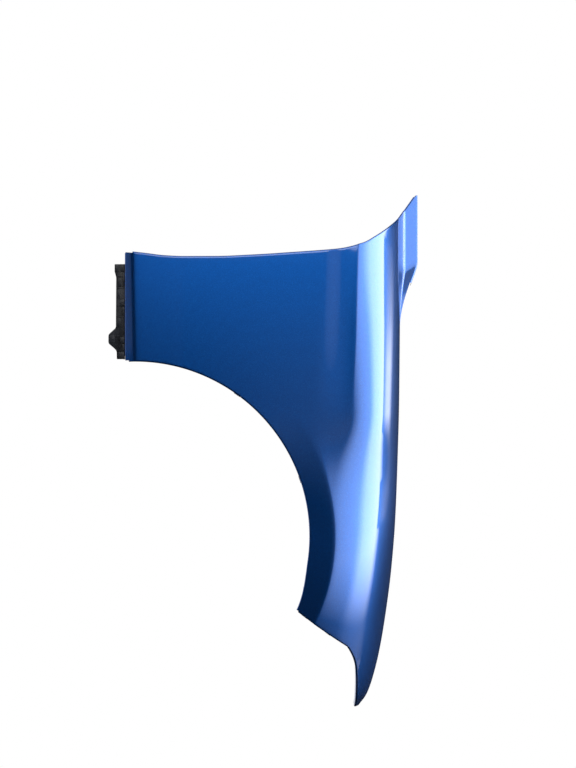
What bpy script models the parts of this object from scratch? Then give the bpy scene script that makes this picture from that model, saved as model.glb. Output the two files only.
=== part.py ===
"""Right-hand front fender of a car: one pressed steel sheet with folded edges, the moulded strip
under its foot, its spot-welded brackets and its fasteners.

Metres. x runs forward, y inboard and z up. Shapes are worked out from the wheel's centre and from
the outermost point of the skin. An empty carries them all, placed so that the origin lies under
the middle land of the bolting flange, where the fender hangs on the body.
"""

import math

import bmesh
import bpy
from mathutils import Vector

# Sheet
SHEET = 0.0008
FOLD_RADIUS = 0.003
FOLD_STEPS = 3

# Side view, from the wheel's centre
ARCH_RADIUS = 0.3492
ARCH_FRONT_ANGLE = math.radians(65.3)
ARCH_FLARE = 0.0072
ARCH_FLARE_ANGLE = math.radians(82.0)
CORNER_ANGLE = math.radians(140.0)
BAND_WIDTH = 0.052
LEG_WIDTH = 0.2123
SILL_DROP = 0.0232
SHOULDER_RISE = 0.0472
HAUNCH_RISE = 0.138
PILLAR_SWEEP = 0.1166
COWL_RUN = 0.165
COWL_TOP_SHARE = 0.516
JOINT_LENGTH = 0.134
JOINT_ANGLE = math.radians(53.2)
HEADLAMP_RUN = 0.142
HEADLAMP_RISE = 0.0213
NOSE_HEIGHT = 0.005

# Depth, from the outermost point of the skin
HOOD_DEPTH = 0.150
HOOD_DEPTH_GROWTH = 0.058
REAR_SWEEP = 0.008
NOSE_SWEEP = 0.075
BARREL_DEPTH = 0.010
BARREL_CROWN = 0.270
SCOOP_DEPTH = 0.0024
SCOOP_HEIGHT = 0.075
TUCK_HEIGHT = 0.018
TUCK_GROWTH = 0.005
COWL_SHELF = 0.052
COWL_SHELF_RISE = 0.012
COWL_RISER = 0.027
COWL_RISER_LEAN = 0.011
COWL_RADIUS = 0.009
CREASE_RADIUS = 0.003
TUCK_RADIUS = 0.004

# Slopes, as depth over height, and where the creases begin and end
SHOULDER_SLOPE_SHARE = 0.40
HAUNCH_SLOPE_SHARE = 0.18
BAND_SLOPE = 0.13
TUCK_SLOPE = 0.55
SCOOP_PEAK = 6.75
SCOOP_REACH_SHARE = 1.8
SHOULDER_END_SHARE = 0.57
HAUNCH_REAR_SHARE = 0.72
HAUNCH_START_SHARE = 0.10
CROWN_FRONT_SHARE = 0.45
CROWN_REAR_SHARE = 0.22
BAND_END_ANGLE = math.radians(132.0)
BAND_FADE_ANGLE = math.radians(42.0)
PLAN_POWER = 2.4
HOOD_DEPTH_POWER = 1.5

# The roll from the side up to the hood, as a superellipse that stops short of level
ROLL_POWER = 2.2
ROLL_SHARE = 0.95

# Outlines, as shares of the sizes that they follow
DOOR_EDGE_SHARES = (
    (0.0, -0.0545),
    (0.088, -0.0322),
    (0.174, -0.0085),
    (0.258, 0.0),
    (0.386, 0.0),
    (0.56, -0.0151),
    (0.731, -0.0396),
    (0.903, -0.0688),
    (0.946, -0.0829),
    (1.0, -0.113),
)
PILLAR_EDGE_SHARES = (
    (0.0, 0.0),
    (0.177, 0.0515),
    (0.414, 0.169),
    (0.658, 0.311),
    (0.912, 0.493),
    (1.0, 0.576),
)
SHOULDER_FALL_SHARES = (
    (0.0, 0.0),
    (0.224, 0.306),
    (0.434, 0.79),
    (0.646, 0.97),
    (1.0, 1.0),
)
HOOD_FALL_SHARES = (
    (0.0, 0.0),
    (0.2, 0.016),
    (0.35, 0.05),
    (0.5, 0.1),
    (0.63, 0.19),
    (0.76, 0.34),
    (0.85, 0.48),
    (0.92, 0.635),
    (0.97, 0.8),
    (1.0, 1.0),
)
HEADLAMP_EDGE_SHARES = (
    (0.0, 0.0),
    (0.1, 0.37),
    (0.21, 0.68),
    (0.32, 0.86),
    (0.49, 0.96),
    (0.68, 1.0),
    (0.85, 0.98),
    (1.0, 0.90),
)

# Grid of the skin
LEG_ROWS = 13
TUCK_ROWS = 5
BAND_ROW_SHARES = (0.0, 0.2, 0.5, 0.8, 1.0)
SIDE_ROWS = 11
SIDE_GATHER = 2.6
REAR_COLUMNS = 2
NOTCH_ROWS = 2
COWL_FLANGE_COLUMNS = 6
ROLL_ROW_SHARES = (0.0, 0.035, 0.13, 0.28, 0.44, 0.59, 0.72, 0.83, 0.91, 0.965, 1.0)
COWL_COLUMNS = 8
GAP_COLUMNS = 3
NOSE_COLUMNS = 4

# Folded edges
CHANNEL_DEPTH = 0.024
BOLT_FLANGE_WIDTH = 0.034
LAND_COUNT = 5
LAND_LENGTH = 0.056
REAR_LAND_SHARE = 0.095
FRONT_LAND_SHARE = 0.845
ARCH_LIP = 0.016
DOOR_FLANGE = 0.014
PILLAR_FLANGE = 0.008
PILLAR_INSET = 0.006
FOLD_BACK_SHARE = 0.8
EVENING_PASSES = 6
DOOR_EAR = 0.030
SILL_FLANGE = 0.024
JOINT_FLANGE = 0.018
HEADLAMP_FLANGE = 0.008
COWL_FLANGE = 0.012
EAR_LENGTH = 0.034
EAR_SHOULDER = 2.5
EAR_SHARES = (0.2, 0.82)

# Holes
HOLE_SIDES = 12
HOLE_REACH = 0.006
BOLT_HOLE = 0.009
BOLT_SLOT = 0.005
PIN_HOLE = 0.007
PAIR_SHARE = 0.3
CLIP_HOLE = 0.007
CLIP_SLOT = 0.006
ARCH_HOLE_SHARES = (0.06, 0.28, 0.5, 0.72, 0.9)
JOINT_HOLE_SHARES = (0.36, 0.88)
SILL_HOLE_SHARES = (0.1, 0.47, 0.78)
SILL_HOLE_INSET = 0.010

# Spot-welded brackets
GAP = 0.0003
BRACKET_SHEET = 0.0012
BRACKET_RADIUS = 0.004
BRACE_HEIGHT = 0.008
BRACE_FIRST_ROW = 1
BRACE_ROWS = 4
CORNER_BRACKET_ROWS = 3
DOOR_BRACKET_SHARE = 0.75
CORNER_BRACKET_LAP = 0.009
CORNER_BRACKET_REACH = 0.026
CORNER_BRACKET_FOOT = 0.024
FOOT_INSET = 0.003
BRACKET_HOLE = 0.009

# Spring nuts that grip a flange
NUT_SHEET = 0.0006
NUT_WIDTH = 0.014
NUT_TAIL = 0.0065
NUT_BEND_SHARE = 0.4
NUT_BOSS = 0.0085
NUT_BOSS_HEIGHT = 0.0035
NUT_BORE = 0.0048
NUT_FACETS = 16

# Moulded strip under the foot
STRIP_START = 0.022
STRIP_LENGTH = 0.190
STRIP_DROP = 0.033
STRIP_WALL = 0.0024
STRIP_WIDTH = 0.0205
STRIP_INSET = 0.001
STRIP_OUTLINE_SHARES = (
    (0.0, 0.01),
    (0.01, 0.58),
    (0.025, 0.61),
    (0.088, 0.61),
    (0.095, 0.24),
    (0.13, 0.24),
    (0.135, 0.52),
    (0.672, 0.53),
    (0.732, 0.97),
    (0.75, 1.0),
    (0.8, 1.0),
    (0.818, 0.97),
    (0.884, 0.53),
    (0.9, 0.36),
    (0.91, 0.36),
    (0.915, 0.5),
    (0.995, 0.5),
    (1.0, 0.01),
)
STRIP_PLATE_SHARES = (0.003, 0.997)
STRIP_BOX_SHARES = ((0.18, 0.265), (0.38, 0.455), (0.93, 0.985))
STRIP_BOX_DROP_SHARE = 0.4
STRIP_BOX_PROUD = 0.0025
STRIP_WINDOW_SHARES = ((0.285, 0.36), (0.48, 0.53))
STRIP_WINDOW_DROP_SHARES = (0.14, 0.26)
STRIP_RIB_SHARES = (0.03, 0.21, 0.32, 0.42, 0.63, 0.71, 0.92)
STRIP_RIB = 0.0018
STRIP_RIB_DROP_SHARE = 0.42

# Push rivets: a turned head, and a pin as shares of the hole's radius and of its point's length
RIVET_STEPS = 20
RIVET_HOLE = 0.007
RIVET_HEAD = 0.016
RIVET_HEAD_HEIGHT = 0.0017
RIVET_POINT = 0.0074
RIVET_HEAD_SHARES = (
    (0.0, 0.76),
    (0.325, 0.76),
    (0.375, 1.0),
    (0.925, 0.88),
    (1.0, 0.53),
    (1.0, 0.0),
)
RIVET_PIN_SHARES = (
    (0.886, 0.0),
    (1.229, 0.08),
    (1.229, 0.54),
    (0.743, 1.0),
    (0.0, 1.0),
)

SHARP_ANGLE = math.radians(32.0)
PAINT_COLOUR = (0.004, 0.05, 0.27)
PLASTIC_COLOUR = (0.018, 0.020, 0.024)
ZINC_COLOUR = (0.55, 0.56, 0.58)


# Corners of the side view, worked out from the sizes above
BAND_RADIUS = ARCH_RADIUS + BAND_WIDTH
DOOR_X = -ARCH_RADIUS - LEG_WIDTH
SHOULDER_X = DOOR_X + LEG_WIDTH * DOOR_EDGE_SHARES[-1][1]
SHOULDER_Z = BAND_RADIUS + SHOULDER_RISE
HOOD_Z = BAND_RADIUS + HAUNCH_RISE
PILLAR_X = SHOULDER_X - PILLAR_SWEEP * PILLAR_EDGE_SHARES[-1][1]
TIP_X = SHOULDER_X - PILLAR_SWEEP
HOOD_REAR_X = SHOULDER_X + COWL_RUN
JOINT_FOOT_X = (ARCH_RADIUS + ARCH_FLARE) * math.cos(ARCH_FRONT_ANGLE)
JOINT_FOOT_Z = (ARCH_RADIUS + ARCH_FLARE) * math.sin(ARCH_FRONT_ANGLE)
JOINT_TOP_X = JOINT_FOOT_X + JOINT_LENGTH * math.cos(JOINT_ANGLE)
JOINT_TOP_Z = JOINT_FOOT_Z + JOINT_LENGTH * math.sin(JOINT_ANGLE)
NOSE_X = JOINT_TOP_X + HEADLAMP_RUN
NOSE_LOW_Z = JOINT_TOP_Z + HEADLAMP_RISE * HEADLAMP_EDGE_SHARES[-1][1]
NOSE_TOP_Z = NOSE_LOW_Z + NOSE_HEIGHT
SHOULDER_END_X = -ARCH_RADIUS * SHOULDER_END_SHARE
HAUNCH_REAR_X = -ARCH_RADIUS * HAUNCH_REAR_SHARE
HAUNCH_START_X = -ARCH_RADIUS * HAUNCH_START_SHARE

FORWARD = Vector((1, 0, 0))
INBOARD = Vector((0, 1, 0))
UP = Vector((0, 0, 1))


def ease(share):
    """From 0 to 1 with level ends, held there outside them."""
    share = min(max(share, 0.0), 1.0)
    return share * share * (3 - 2 * share)


def mix(first, last, share):
    return first + (last - first) * share


def above_zero(value, radius):
    """The value where it is positive and nought where it is negative, with a rounded corner."""
    return (value + math.hypot(value, radius)) / 2


def along(shares, place):
    """Reads a table of shares at a place, on a smooth curve that never overshoots its points."""
    last = len(shares) - 1
    place = min(max(place, shares[0][0]), shares[last][0])
    rises = [
        (after[1] - before[1]) / (after[0] - before[0])
        for before, after in zip(shares, shares[1:])
    ]

    def slope(n):
        if n in (0, last):
            return rises[max(n - 1, 0)]
        before, after = rises[n - 1], rises[n]
        return 2 * before * after / (before + after) if before * after > 0 else 0.0

    n = next(n for n in range(last) if place <= shares[n + 1][0])
    (start, low), (end, high) = shares[n], shares[n + 1]
    run = end - start
    t = (place - start) / run
    ease_in = t * t * (3 - 2 * t)
    bend_start = slope(n) * run * t * (1 - t) ** 2
    bend_end = slope(n + 1) * run * t * t * (t - 1)
    return low + (high - low) * ease_in + bend_start + bend_end


# Lines of the side view


def door_edge(z):
    """x of the rear edge, up the front door and then back along the foot of the windscreen pillar."""
    if z <= SHOULDER_Z:
        share = (z + SILL_DROP) / (SHOULDER_Z + SILL_DROP)
        return DOOR_X + LEG_WIDTH * along(DOOR_EDGE_SHARES, share)
    share = (z - SHOULDER_Z) / (HOOD_Z - SHOULDER_Z)
    return SHOULDER_X - PILLAR_SWEEP * along(PILLAR_EDGE_SHARES, share)


def shoulder_line(x):
    """z of the shoulder crease, and of the line that carries it on to the headlamp corner."""
    share = (x - SHOULDER_X) / (JOINT_TOP_X - SHOULDER_X)
    return mix(SHOULDER_Z, JOINT_TOP_Z, along(SHOULDER_FALL_SHARES, share))


def hood_share(x):
    return max((x - HOOD_REAR_X) / (NOSE_X - HOOD_REAR_X), 0.0)


def hood_edge(x):
    """z of the edge along the hood."""
    return mix(HOOD_Z, NOSE_TOP_Z, along(HOOD_FALL_SHARES, hood_share(x)))


def headlamp_edge(share):
    x = mix(JOINT_TOP_X, NOSE_X, share)
    return x, JOINT_TOP_Z + HEADLAMP_RISE * along(HEADLAMP_EDGE_SHARES, share)


def crown_line(x):
    """z of the crease round the wheel arch, carried straight on past both its ends."""
    reach = max(min(x, BAND_RADIUS * CROWN_FRONT_SHARE), -BAND_RADIUS * CROWN_REAR_SHARE)
    height = math.sqrt(BAND_RADIUS**2 - reach**2)
    return height - (x - reach) * reach / height


def arch_flare(angle):
    """How far the wheel opening stands out from its circle, towards its front end."""
    return ARCH_FLARE * ease((ARCH_FLARE_ANGLE - angle) / (ARCH_FLARE_ANGLE - ARCH_FRONT_ANGLE))


def tuck_line(x):
    share = (x - DOOR_X) / LEG_WIDTH
    return TUCK_HEIGHT + TUCK_GROWTH * share - SILL_DROP


# Outer face


def bulge(share):
    """The roll's superellipse, from 0 at its level start to 1 at the hood edge."""

    def arc(t):
        return 1 - (1 - (ROLL_SHARE * t) ** ROLL_POWER) ** (1 / ROLL_POWER)

    return arc(share) / arc(1.0)


def skin_depth(x, z):
    """How far inboard the outer face lies at a place of the side view."""
    if x < 0:
        depth = REAR_SWEEP * (x / SHOULDER_X) ** 2
    else:
        depth = NOSE_SWEEP * (x / NOSE_X) ** PLAN_POWER
    fall = max(BARREL_CROWN - z, 0.0) / (BARREL_CROWN + SILL_DROP)
    depth += BARREL_DEPTH * fall**2

    shoulder_share = (SHOULDER_END_X - x) / (SHOULDER_END_X - SHOULDER_X)
    haunch = ease((x - HAUNCH_REAR_X) / (HAUNCH_START_X - HAUNCH_REAR_X))

    def above(line):
        return min(above_zero(z - line, CREASE_RADIUS) / (hood_edge(x) - line), 1.0)

    lean, crown_lean = SHOULDER_SLOPE_SHARE * ease(shoulder_share), HAUNCH_SLOPE_SHARE * haunch
    section = lean * above(shoulder_line(x)) + crown_lean * above(crown_line(x))
    start = mix(shoulder_line(x), crown_line(x), haunch)
    section += (1 - lean - crown_lean) * bulge(above(start))
    hood_depth = HOOD_DEPTH + HOOD_DEPTH_GROWTH * hood_share(x) ** HOOD_DEPTH_POWER
    depth = mix(depth, hood_depth, section)

    scoop = ease(SCOOP_REACH_SHARE * shoulder_share)
    below = above_zero(shoulder_line(x) - z, CREASE_RADIUS) / SCOOP_HEIGHT
    if below < 1:
        depth += SCOOP_DEPTH * scoop * SCOOP_PEAK * below * (1 - below) ** 2

    gap = above_zero(BAND_RADIUS - math.hypot(x, z), CREASE_RADIUS)
    angle = math.atan2(max(z, 0.0), x)
    depth += BAND_SLOPE * gap * ease((BAND_END_ANGLE - angle) / BAND_FADE_ANGLE)
    return depth + TUCK_SLOPE * above_zero(tuck_line(x) - z, TUCK_RADIUS)


# Skin grid: columns run from the arch or the headlamp up to the door, the pillar or the hood


def column(start, crease, end):
    """Places of one side column: over the arch band, then gathered towards both its ends."""
    places = [start.lerp(crease, share) for share in BAND_ROW_SHARES]
    for row in range(1, SIDE_ROWS + 1):
        spread = math.tanh(SIDE_GATHER * (row / SIDE_ROWS - 0.5)) / math.tanh(SIDE_GATHER / 2)
        places.append(crease.lerp(end, (1 + spread) / 2))
    return places


def crossing(start, end, radius):
    """Where the line from start to end leaves the circle of this radius round the wheel."""
    run = end - start
    half = start.dot(run) / run.length_squared
    rest = (start.length_squared - radius**2) / run.length_squared
    return start + run * (math.sqrt(half**2 - rest) - half)


def land_centres():
    run = NOSE_X - HOOD_REAR_X
    rear, front = HOOD_REAR_X + REAR_LAND_SHARE * run, HOOD_REAR_X + FRONT_LAND_SHARE * run
    return [mix(rear, front, land / (LAND_COUNT - 1)) for land in range(LAND_COUNT)]


def hood_columns():
    """x of each column along the hood edge, with three to each bolt land."""

    def run(start, end, parts):
        return [mix(start, end, part / parts) for part in range(parts)]

    places = run(PILLAR_X + PILLAR_INSET, HOOD_REAR_X, COWL_COLUMNS)
    last = HOOD_REAR_X
    for land, centre in enumerate(land_centres()):
        start, end = centre - LAND_LENGTH / 2, centre + LAND_LENGTH / 2
        places += run(last, start, GAP_COLUMNS if land else REAR_COLUMNS) + run(start, end, 2)
        last = end
    return places + run(last, NOSE_X, NOSE_COLUMNS) + [NOSE_X]


class Skin:
    """The vertices of the pressed sheet, kept by row and column while its faces are made."""

    def __init__(self):
        self.mesh = bmesh.new()
        self.hood_x = hood_columns()
        self.corner = self.hood_x.index(land_centres()[-1] - LAND_LENGTH / 2)
        self.side = self.make_side()
        self.upper = self.make_upper()
        self.cowl = self.make_cowl()

    def place(self, x, z):
        return self.mesh.verts.new((x, skin_depth(x, z), z))

    def fill(self, columns):
        """Faces between columns of vertices, which may share a vertex where they close up."""
        for left, right in zip(columns, columns[1:]):
            for low in range(len(left) - 1):
                corners = (left[low], right[low], right[low + 1], left[low + 1])
                corners = list(dict.fromkeys(corners))
                if len(corners) > 2:
                    self.mesh.faces.new(corners)

    def make_side(self):
        """Leg and arch: columns fan out from the wheel opening to the door and the shoulder."""
        radius = ARCH_RADIUS + FOLD_RADIUS
        outer_height = SHOULDER_Z + SILL_DROP - FOLD_RADIUS
        inner_height = radius * math.sin(CORNER_ANGLE) + SILL_DROP - FOLD_RADIUS
        narrowing = 1 - inner_height / outer_height
        tuck = 2 * TUCK_HEIGHT
        heights = [tuck * row / TUCK_ROWS for row in range(TUCK_ROWS)]
        heights += [mix(tuck, outer_height, row / LEG_ROWS) for row in range(LEG_ROWS)]
        ends = []
        for height in heights:
            z = height - SILL_DROP + FOLD_RADIUS
            inner_z = z - height * narrowing * height / outer_height
            inner_x = -math.sqrt(radius**2 - inner_z**2)
            ends.append((Vector((inner_x, inner_z)), Vector((door_edge(z) + FOLD_RADIUS, z))))

        rear = math.atan2(SHOULDER_Z, SHOULDER_X)
        front = math.atan2(JOINT_TOP_Z, JOINT_TOP_X)
        for hood_x in self.hood_x[: self.corner + 1]:
            share = (hood_x - self.hood_x[0]) / (self.hood_x[self.corner] - self.hood_x[0])
            x = mix(SHOULDER_X + FOLD_RADIUS, JOINT_TOP_X, share)
            z = shoulder_line(x)
            turn = (math.atan2(z, x) - front) / (rear - front)
            angle = mix(ARCH_FRONT_ANGLE, CORNER_ANGLE, turn)
            opening = radius + arch_flare(angle)
            inner = Vector((opening * math.cos(angle), opening * math.sin(angle)))
            ends.append((inner, Vector((x, z))))

        columns = []
        for start, end in ends:
            crease = crossing(start, end, BAND_RADIUS)
            columns.append([self.place(*spot) for spot in column(start, crease, end)])
        self.fill(columns)
        return columns

    def make_upper(self):
        """The roll from the shoulder line and the headlamp edge up to the hood edge."""
        side_tops = [side[-1] for side in self.side[TUCK_ROWS + LEG_ROWS :]]
        columns = []
        for number, hood_x in enumerate(self.hood_x):
            top = Vector((hood_x, hood_edge(hood_x)))
            if number <= self.corner:
                low = Vector((side_tops[number].co.x, side_tops[number].co.z))
                places = [side_tops[number]]
            else:
                start = self.hood_x[self.corner]
                low = Vector(headlamp_edge((hood_x - start) / (NOSE_X - start)))
                places = [self.place(*low)]
            drag = max(1 - number / COWL_COLUMNS, 0.0) ** 2
            for share in ROLL_ROW_SHARES[1:]:
                spot = low.lerp(top, share)
                edge_z = mix(SHOULDER_Z, HOOD_Z, share)
                straight = mix(SHOULDER_X, PILLAR_X, share)
                spot.x += (door_edge(edge_z) - straight) * drag
                places.append(self.place(*spot))
            columns.append(places)
        self.fill(columns)
        return columns

    def make_cowl(self):
        """Behind the hood's corner the sheet runs inboard as a shelf and stands up as a riser."""
        columns = []
        for number in range(COWL_COLUMNS + 1):
            base = self.upper[number][-1]
            reach = 1 - number / COWL_COLUMNS
            size = min(reach / (1 - COWL_TOP_SHARE), 1.0) ** 2
            places = [base]
            for depth, rise in cowl_section():
                if number == COWL_COLUMNS:
                    places.append(base)
                    continue
                back = (self.hood_x[0] - TIP_X) * reach
                back *= size * rise / (COWL_SHELF_RISE + COWL_RISER)
                move = Vector((-back, depth * size, rise * size))
                places.append(self.mesh.verts.new(base.co + move))
            columns.append(places)
        self.fill(columns)
        return columns


def cowl_section():
    """Depth and rise of the shelf and the riser, rounded where they meet."""
    path = [(0.0, 0.0), (COWL_SHELF, COWL_SHELF_RISE)]
    path.append((COWL_SHELF + COWL_RISER_LEAN, COWL_SHELF_RISE + COWL_RISER))
    path = rounded(path, COWL_RADIUS, FOLD_STEPS)
    return [path[0].lerp(path[1], 0.5), *path[1:]]


def rounded(path, radius, steps):
    """A path of straight runs with an arc at each inner corner."""
    result = [Vector(path[0])]
    for before, corner, after in zip(path, path[1:], path[2:]):
        corner = Vector(corner)
        back, on = (Vector(before) - corner).normalized(), (Vector(after) - corner).normalized()
        half = back.angle(on) / 2
        centre = corner + (back + on).normalized() * radius / math.sin(half)
        first = corner + back * radius / math.tan(half) - centre
        last = corner + on * radius / math.tan(half) - centre
        sweep = math.pi - 2 * half
        for step in range(steps + 1):
            turn = sweep * step / steps
            spoke = first * math.sin(sweep - turn) + last * math.sin(turn)
            result.append(centre + spoke / math.sin(sweep))
    return [*result, Vector(path[-1])]


# Folded edges


def headings(chain):
    """For a chain of rim vertices with the sheet on its right: which way the sheet runs out."""
    result = []
    for number, vert in enumerate(chain):
        before, after = chain[max(number - 1, 0)], chain[min(number + 1, len(chain) - 1)]
        result.append(vert.normal.cross(after.co - before.co).normalized())
    return result


def behind(chain, starts, back=0.0):
    """In from the outer face, folded back past square by a share, and evened out along the chain
    so that the folds never cross."""
    goals = [-vert.normal - start * back for vert, start in zip(chain, starts)]
    for _ in range(EVENING_PASSES):
        padded = [goals[0], *goals, goals[-1]]
        goals = [
            (before + goal * 2 + after).normalized()
            for before, goal, after in zip(padded, goals, padded[2:])
        ]
    return goals


def fold(mesh, chain, starts, goals, reach):
    """Turns the sheet on a small radius from starts to goals, and runs it on by reach(place)."""
    rows = [[vert] for vert in chain]
    for row, start, goal in zip(rows, starts, goals):
        angle = start.angle(goal)
        side = (goal - start * math.cos(angle)).normalized()
        origin = row[0].co.copy()
        for step in range(1, FOLD_STEPS + 1):
            turn = angle * step / FOLD_STEPS
            bend = start * math.sin(turn) + side * (1 - math.cos(turn))
            row.append(mesh.verts.new(origin + bend * FOLD_RADIUS))
        row.append(mesh.verts.new(row[-1].co + goal * reach(row[-1].co)))
    for left, right in zip(rows, rows[1:]):
        for low in range(len(left) - 1):
            mesh.faces.new((left[low], right[low], right[low + 1], left[low + 1]))
    return [row[-1] for row in rows]


def mark(edge, goals, share, inset):
    """A place on a folded flange, a share of the way along it and inset from its free edge.

    Returns the place, the way along the flange and the way across it."""
    spot = share * (len(edge) - 1)
    number = min(int(spot), len(edge) - 2)
    before, after = edge[number].co, edge[number + 1].co
    goal = goals[number].lerp(goals[number + 1], spot - number).normalized()
    place = before.lerp(after, spot - number) - goal * inset
    return place, (after - before).normalized(), goal


def land_level(x):
    """z of the bolting flange: level under each bolt, with an easy slope between."""
    levels = []
    for centre in land_centres():
        level = hood_edge(centre) - CHANNEL_DEPTH
        levels += [(centre - LAND_LENGTH / 2, level), (centre + LAND_LENGTH / 2, level)]
    return along(levels, x)


def door_reach(place):
    """The door flange widens into an ear round each of its bolts."""
    reach = DOOR_FLANGE
    for height in ear_heights():
        off = abs(place.z - height) / EAR_LENGTH
        reach += (DOOR_EAR - DOOR_FLANGE) * ease(EAR_SHOULDER * (1 - off))
    return reach


def ear_heights():
    return [share * SHOULDER_Z for share in EAR_SHARES]


def fold_edges(skin):
    """Folds every edge of the sheet and returns the places of its holes, by the name of the edge."""
    mesh, side, upper, cowl = skin.mesh, skin.side, skin.upper, skin.cowl
    mesh.normal_update()
    leg = TUCK_ROWS + LEG_ROWS
    hood = [upper[n][-1] for n in range(COWL_COLUMNS + 1, skin.corner + 3)]
    hood_start = headings(hood)
    chains = {
        "door": [side[n][-1] for n in range(NOTCH_ROWS, leg)] + upper[0][:1],
        "pillar": upper[0][1:] + cowl[0][1:-1],
        "cowl": [places[-1] for places in cowl[:COWL_FLANGE_COLUMNS]],
        "nose": [places[-1] for places in upper[skin.corner + 3 :]],
        "headlamp": [places[0] for places in upper[: skin.corner - 1 : -1]],
        "joint": side[-1][-2:0:-1],
        "arch": [places[0] for places in side[:0:-1]],
        "sill": side[0][1:-1],
    }
    starts = {name: headings(chain) for name, chain in chains.items()}
    goals = {name: behind(chain, starts[name]) for name, chain in chains.items()}
    for name in ("pillar", "nose", "headlamp"):
        goals[name] = behind(chains[name], starts[name], FOLD_BACK_SHARE)
    for name in ("arch", "sill"):
        goals[name] = [INBOARD] * len(chains[name])
    reaches = {
        "door": door_reach,
        "pillar": lambda place: PILLAR_FLANGE,
        "cowl": lambda place: COWL_FLANGE,
        "nose": lambda place: HEADLAMP_FLANGE,
        "headlamp": lambda place: HEADLAMP_FLANGE,
        "joint": lambda place: JOINT_FLANGE,
        "arch": lambda place: ARCH_LIP,
        "sill": lambda place: SILL_FLANGE,
    }
    folds = {
        name: (fold(mesh, chain, starts[name], goals[name], reaches[name]), goals[name])
        for name, chain in chains.items()
    }

    down = [-UP] * len(hood)
    drop = fold(mesh, hood, hood_start, down, lambda at: at.z - land_level(at.x) - FOLD_RADIUS)
    inboard = [INBOARD] * len(hood)
    folds["hood"] = (fold(mesh, drop, down, inboard, lambda at: BOLT_FLANGE_WIDTH), inboard)
    return folds


# Solids of revolution and prisms for the fittings and for the holes


def ring(radius, steps, run=0.0):
    """A circle, or a slot where the two halves stand run apart along the first axis."""
    half = steps // 2
    points = []
    for side in (1, -1):
        for step in range(half + 1 if run else half):
            turn = math.pi * (step / half + (0 if side > 0 else 1) - 0.5)
            shift = side * run / 2
            points.append((radius * math.cos(turn) + shift, radius * math.sin(turn)))
    return points


def prism(mesh, outline, centre, right, up, start, end):
    """Extrudes an outline drawn on right and up, from start to end along the way between them."""
    axis = right.cross(up).normalized()
    verts = []
    for level in (start, end):
        verts.append([mesh.verts.new(centre + right * u + up * v + axis * level) for u, v in outline])
    low, high = verts
    mesh.faces.new(low[::-1])
    mesh.faces.new(high)
    for n in range(len(outline)):
        after = (n + 1) % len(outline)
        mesh.faces.new((low[n], low[after], high[after], high[n]))


def material(name, colour, metallic, roughness, coat=0.0):
    made = bpy.data.materials.new(name)
    made.use_nodes = True
    shader = made.node_tree.nodes["Principled BSDF"]
    shader.inputs["Base Color"].default_value = (*colour, 1.0)
    shader.inputs["Metallic"].default_value = metallic
    shader.inputs["Roughness"].default_value = roughness
    shader.inputs["Coat Weight"].default_value = coat
    return made


def add_object(name, mesh, parent, finish):
    data = bpy.data.meshes.new(name)
    mesh.to_mesh(data)
    mesh.free()
    data.materials.append(finish)
    data.shade_smooth()
    data.set_sharp_from_angle(angle=SHARP_ANGLE)
    made = bpy.data.objects.new(name, data)
    bpy.context.scene.collection.objects.link(made)
    made.parent = parent
    return made


def combine(target, name, mesh, operation):
    """Adds a hidden helper's solids to the target, or takes them away from it."""
    bmesh.ops.recalc_face_normals(mesh, faces=mesh.faces)
    helper = add_object(name, mesh, target.parent, target.data.materials[0])
    helper.hide_render = True
    helper.display_type = "WIRE"
    modifier = target.modifiers.new(name, "BOOLEAN")
    modifier.operation = operation
    modifier.object = helper
    modifier.use_self = operation == "UNION"


def thicken(sheet, thickness, offset=-1):
    solid = sheet.modifiers.new("Sheet", "SOLIDIFY")
    solid.thickness = thickness
    solid.offset = offset
    solid.use_even_offset = True
    solid.use_quality_normals = True


def lattice(mesh, rows):
    """A sheet of faces through rows of places."""
    rows = [[mesh.verts.new(place) for place in row] for row in rows]
    for left, right in zip(rows, rows[1:]):
        for low in range(len(left) - 1):
            mesh.faces.new((left[low], right[low], right[low + 1], left[low + 1]))


# Pieces


def middle(edge, share):
    """The share at the middle of the nearest straight run of a flange."""
    runs = len(edge) - 1
    return (int(share * runs) + 0.5) / runs


def level_share(edge, height):
    """The share at the middle of the straight run of a flange that reaches this height."""
    return (sum(vert.co.z < height for vert in edge) - 0.5) / (len(edge) - 1)


def make_panel(parent, folds, skin, finish):
    holes = bmesh.new()

    def hole(name, share, inset, radius, run=0.0):
        place, right, up = mark(*folds[name], share, inset)
        up = right.cross(up).cross(right)
        prism(holes, ring(radius, HOLE_SIDES, run), place, right, up, -HOLE_REACH, HOLE_REACH)

    for land, share in enumerate(land_shares(folds, skin)):
        if land == LAND_COUNT // 2:
            centre = mark(*folds["hood"], share, BOLT_FLANGE_WIDTH / 2)[0]
            for shift in (-LAND_LENGTH * PAIR_SHARE, LAND_LENGTH * PAIR_SHARE):
                outline = ring(PIN_HOLE / 2, HOLE_SIDES)
                place = centre + FORWARD * shift
                prism(holes, outline, place, FORWARD, INBOARD, -HOLE_REACH, HOLE_REACH)
        else:
            hole("hood", share, BOLT_FLANGE_WIDTH / 2, BOLT_HOLE / 2, BOLT_SLOT)
    for share in ARCH_HOLE_SHARES:
        hole("arch", middle(folds["arch"][0], share), ARCH_LIP / 2, CLIP_HOLE / 2)
    for share in JOINT_HOLE_SHARES:
        hole("joint", middle(folds["joint"][0], share), JOINT_FLANGE / 2, CLIP_HOLE / 2)
    for share in SILL_HOLE_SHARES:
        hole("sill", share, SILL_HOLE_INSET, RIVET_HOLE / 2, CLIP_SLOT)
    for height in ear_heights():
        hole("door", level_share(folds["door"][0], height), DOOR_EAR / 2, BOLT_HOLE / 2)

    panel = add_object("fender_panel", skin.mesh, parent, finish)
    thicken(panel, SHEET)
    combine(panel, "panel_holes", holes, "DIFFERENCE")


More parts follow.
